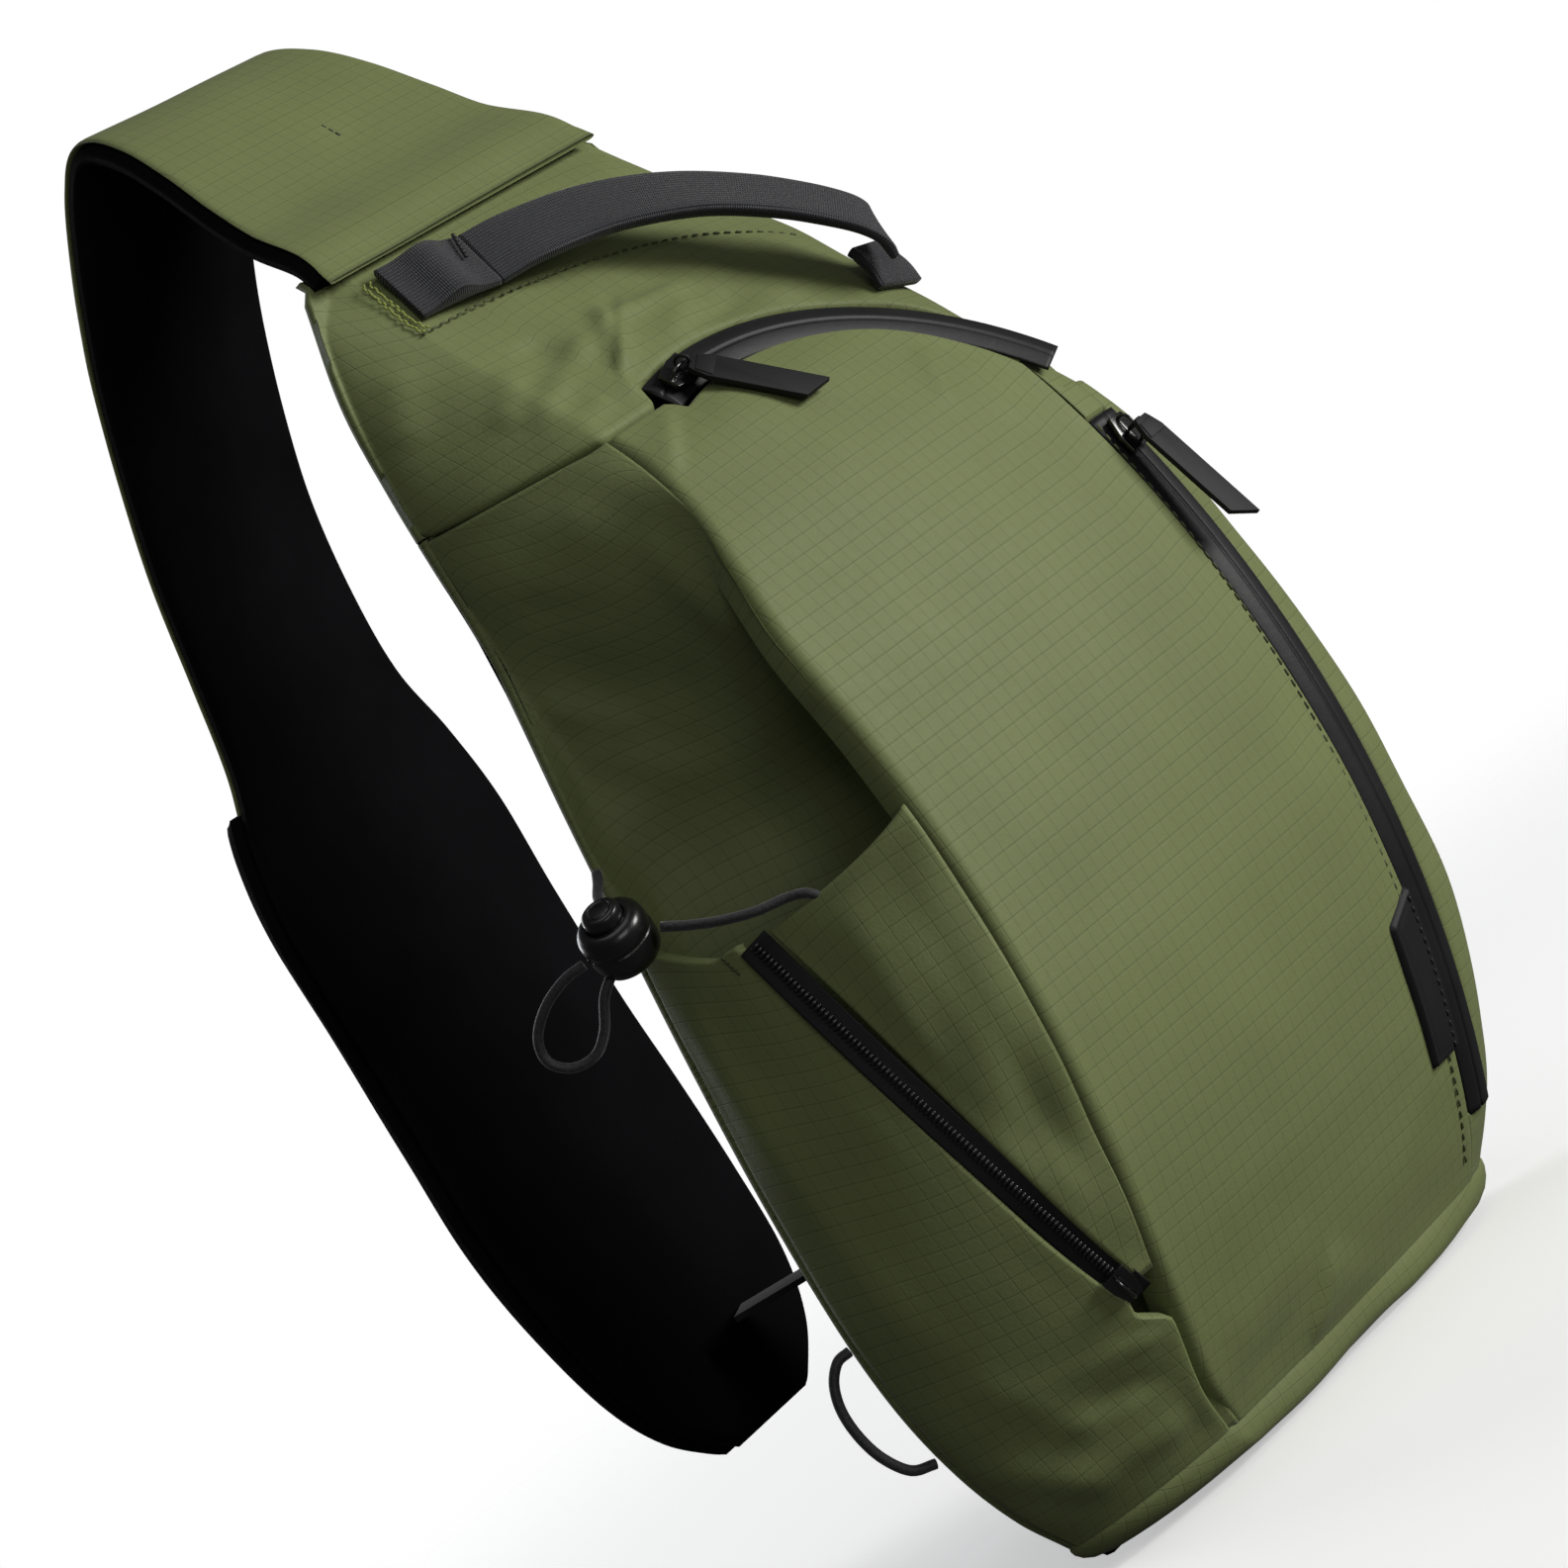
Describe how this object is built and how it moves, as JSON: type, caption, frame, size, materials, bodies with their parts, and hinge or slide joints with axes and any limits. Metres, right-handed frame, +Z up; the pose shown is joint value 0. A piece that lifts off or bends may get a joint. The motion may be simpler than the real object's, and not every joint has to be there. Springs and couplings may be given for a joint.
{
  "type": "sling bag",
  "caption": "Teardrop one-shoulder bag with a wide padded strap arching over the shoulder, a curved top zip, a front zip pocket, a side bottle pocket, a grab handle and an elastic cord with a lock.",
  "frame": {"origin": "on the underside of the shoulder strap at its crest, where it rests on the wearer's shoulder, midway across the bag", "axes": "+Z up along the bag, +Y from the bag's front towards its back panel and the wearer, +X to the right seen from the front"},
  "size_m": [0.2757, 0.2961, 0.4555],
  "materials": {
    "ripstop": "olive ripstop with a fine square grid and a faint sheen",
    "lining": "matt black knitted lining",
    "webbing": "black ribbed webbing",
    "zip_tape": "coated black zip tape, satin",
    "zip_coil": "black nylon coil",
    "hardware": "gloss black enamel",
    "patch": "soft black, satin",
    "foam": "closed-cell foam, matt",
    "plastic": "black moulded plastic",
    "elastic": "black braided elastic cord",
    "spring_steel": "plain steel wire"
  },
  "bodies": {
    "bag": {"back_panel": "lining", "back_foam": "foam", "back_mesh": "lining", "inner_divider": "lining", "front_panel": "ripstop", "front_facing": "ripstop", "right_gusset": "ripstop", "yoke_panel": "ripstop", "base_panel": "ripstop", "side_wall_left": "ripstop", "pocket_rear_wall": "ripstop", "pocket_front_wall": "ripstop", "pocket_zip_tape": "zip_tape", "pocket_zip_coil": "zip_coil", "front_zip_tape": "zip_tape", "front_zip_coil": "zip_coil", "main_zip_tape": "zip_tape", "main_zip_coil": "zip_coil", "label_patch": "patch", "handle_sewn_end": "webbing", "handle_right_end": "webbing", "strap_pad": "lining", "strap_cover": "ripstop", "strap_sleeve": "lining", "strap_webbing": "webbing", "strap_hook": "plastic", "anchor_loop_left": "elastic", "anchor_loop_right": "elastic", "cord_lock_barrel": "plastic", "cord_lock_spring": "spring_steel", "drawcord_loop": "elastic", "drawcord_front_leg": "elastic", "drawcord_rear_leg": "elastic"},
    "main_slider": {"main_zip_slider": "hardware"},
    "main_pull": {"main_zip_puller": "patch"},
    "front_slider": {"front_zip_slider": "hardware"},
    "front_pull": {"front_zip_puller": "patch"},
    "pocket_slider": {"pocket_zip_slider": "hardware"},
    "lock_button": {"cord_lock_button": "plastic"},
    "handle": {"grab_handle": "webbing"},
    "adjuster": {"strap_adjuster": "plastic"}
  },
  "joints": [
    {"name": "main_zip_travel", "type": "hinge", "parent": "bag", "child": "main_slider", "pos_m": [-0.002, -0.1475, -0.2185], "axis": [0, 0.892, -0.452], "range_deg": [0, 74.8]},
    {"name": "main_pull_lift", "type": "hinge", "parent": "main_slider", "child": "main_pull", "pos_m": [-0.01577, -0.11339, -0.13835], "axis": [-0.8654, -0.2265, -0.4469], "range_deg": [0, 120]},
    {"name": "front_zip_travel", "type": "hinge", "parent": "bag", "child": "front_slider", "pos_m": [0.079, 0.157, -0.2725], "axis": [1, 0, 0], "range_deg": [0, 38.9]},
    {"name": "front_pull_lift", "type": "hinge", "parent": "front_slider", "child": "front_pull", "pos_m": [0.079, -0.14403, -0.2187], "axis": [-0.9992, -0.007, -0.0395], "range_deg": [0, 50]},
    {"name": "pocket_zip_travel", "type": "hinge", "parent": "bag", "child": "pocket_slider", "pos_m": [0.035, 0.002, -0.3235], "axis": [-0.6316, 0.7496, -0.1979], "range_deg": [0, 38.4]},
    {"name": "lock_button_press", "type": "slide", "parent": "bag", "child": "lock_button", "axis": [0.3811, 0.3811, -0.8424], "range_m": [0, 0.003], "stiffness_N_per_m": 300, "springref_m": -0.0006},
    {"name": "handle_lift", "type": "hinge", "parent": "bag", "child": "handle", "pos_m": [-0.01766, -0.0783, -0.08473], "axis": [0.7928, -0.3505, -0.4987], "range_deg": [0, 12]},
    {"name": "adjuster_slide", "type": "slide", "parent": "bag", "child": "adjuster", "axis": [0.6097, -0.7892, -0.0739], "range_m": [-0.025, 0.025]}
  ]
}
